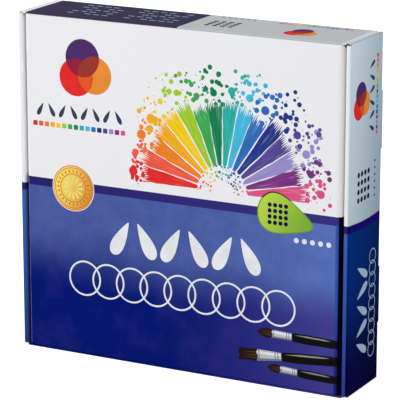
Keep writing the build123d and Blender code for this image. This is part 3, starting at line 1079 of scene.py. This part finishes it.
def dressJar(number, gouache, label):
    low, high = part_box("jar_" + number)
    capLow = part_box("cap_" + number)[0]
    centre = (low + high) / 2
    seat = facePlace((centre.x, high.y, centre.z), (1, 0, 0), (0, 0, 1), 1.0)
    for start, material in (("jar_", jarPlastic), ("cap_", capPlastic), ("cap_liner_", linerFoam)):
        setMaterial(start + number, material)

    floor, level, dish = fillLook["floor"], fillLook["level"], fillLook["dish"]
    inset = jarSizes["wall"] + fillLook["clearance"]
    inner = (high.x - low.x) / 2 - inset
    neck = jarSizes["neckRadius"] - inset
    shoulder = high.y - low.y - jarSizes["neckHeight"]
    outline = [
        (0, floor),
        (inner - fillLook["floorEdge"], floor),
        (inner, floor + fillLook["floorEdge"]),
        (inner, shoulder + fillLook["shoulderFrom"]),
        (neck, shoulder + fillLook["shoulderTo"]),
        (neck, level),
        (neck - 0.5 * mm, level - dish * 0.7),
        *[(neck * share, level - dish) for share in (0.85, 0.5, 0.2)],
        (0, level - dish * 0.9),
    ]
    fill = addTurned("gouache_" + number, outline, seat, "tray", gouache)

    radius, thickness, rim = labelLook["radius"], labelLook["thickness"], labelLook["rim"]
    crown = high.y - capLow.y
    outline = [
        (0, crown - labelLook["sunk"]),
        (radius, crown - labelLook["sunk"]),
        (radius, crown + thickness * 0.6),
        (radius - rim * 0.3, crown + thickness),
        (0, crown + thickness),
    ]
    addTurned("capLabel_" + number, outline, seat, "cap_" + number, label)
    return fill


jarNumbers = [name[4:] for name in sorted(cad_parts) if name.startswith("jar_")]
fills = [dressJar(*given) for given in zip(jarNumbers, gouaches, labels)]
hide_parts("gouache_fills")
print("jars filled:", len(fills))

# Stage: floor, soft lamps and the camera
stageLook = {
    "floorTones": ((246, 247, 248), (250, 250, 251)),
    "floorSide": 6.0,
    "floorDrop": 0.02 * mm,  # clear of the face that the box stands on
    "floorGlow": 0.7,
    "lampTarget": (0, 0, 0.08),
    "lamps": {  # place, power, size, colour
        "keyLamp": ((-1.1, -1.6, 1.25), 22.4, 1.4, (1, 1, 1)),
        "fillLamp": ((1.9, -0.7, 0.8), 4.6, 1.2, (0.93, 0.97, 1.0)),
        "topLamp": ((0.1, 0.3, 1.8), 2.0, 1.2, (1, 1, 1)),
        "backLamp": ((0.35, 2.2, 0.4), 11.0, 1.0, (1, 1, 1)),
    },
    "skyStrength": 0.45,
}
cameraLook = {
    "azimuth": 27.9,
    "elevation": 14.87,
    "distance": 1.0584,
    "aim": (1.6 * mm, 0.0, 73.6 * mm),
    "lens": 218.9,
}


def makeFloor():
    mesh = bpy.data.meshes.new("floor")
    reach, drop = stageLook["floorSide"], -stageLook["floorDrop"]
    corners = [(u * reach, v * reach, drop) for u, v in ((-1, -1), (1, -1), (1, 1), (-1, 1))]
    mesh.from_pydata(corners, [], [(0, 1, 2, 3)])
    tree = Shader("floorPaper")
    path = tree.nodes.new("ShaderNodeLightPath").outputs
    tones = (srgb(*value) for value in stageLook["floorTones"])
    colour = tree.mix(tree.noise(3, 2), *tones)
    material = tree.finish(colour, 0.9, Specular_IOR_Level=0.0, Emission_Color=(1, 1, 1, 1))
    seen = tree.larger(path["Is Camera Ray"], path["Is Glossy Ray"])
    seen = tree.larger(seen, path["Is Transmission Ray"])
    tree.put(tree.surface["Emission Strength"], tree.times(seen, stageLook["floorGlow"]))
    mesh.materials.append(material)
    floor = addObject("floor", mesh)


def makeLamp(name, place, power, size, colour):
    lamp = bpy.data.lights.new(name, "AREA")
    lamp.shape = "DISK"
    lamp.size = size
    lamp.energy = power
    lamp.color = colour
    holder = addObject(name, lamp)
    holder.location = place
    beam = Vector(stageLook["lampTarget"]) - Vector(place)
    holder.rotation_euler = beam.to_track_quat("-Z", "Y").to_euler()


def makeWorld():
    world = bpy.data.worlds.new("studio")
    world.use_nodes = True
    tree = Tree(world.node_tree)
    plain = tree.nodes["Background"].inputs
    plain["Color"].default_value = (1, 1, 1, 1)
    path = tree.nodes.new("ShaderNodeLightPath").outputs
    strength = stageLook["skyStrength"]
    for ray in ("Is Glossy Ray", "Is Transmission Ray", "Is Camera Ray"):  # these see plain white
        strength = tree.node("ShaderNodeMapRange", {0: path[ray], 3: strength})
    tree.put(plain["Strength"], strength)
    bpy.context.scene.world = world


def makeCamera():
    azimuth = math.radians(cameraLook["azimuth"])
    elevation = math.radians(cameraLook["elevation"])
    back = Vector((
        math.sin(azimuth) * math.cos(elevation),
        -math.cos(azimuth) * math.cos(elevation),
        math.sin(elevation),
    ))
    camera = addObject("camera", bpy.data.cameras.new("camera"))
    camera.location = Vector(cameraLook["aim"]) + back * cameraLook["distance"]
    camera.rotation_mode = "QUATERNION"
    camera.rotation_quaternion = (-back).to_track_quat("-Z", "Y")
    camera.data.lens = cameraLook["lens"]
    camera.data.sensor_width = 36
    camera.data.clip_start = 0.05
    bpy.context.scene.camera = camera


makeFloor()
for name, look in stageLook["lamps"].items():
    makeLamp(name, *look)
makeWorld()
makeCamera()
bpy.context.scene.view_settings.view_transform = "Standard"
print("stage set")
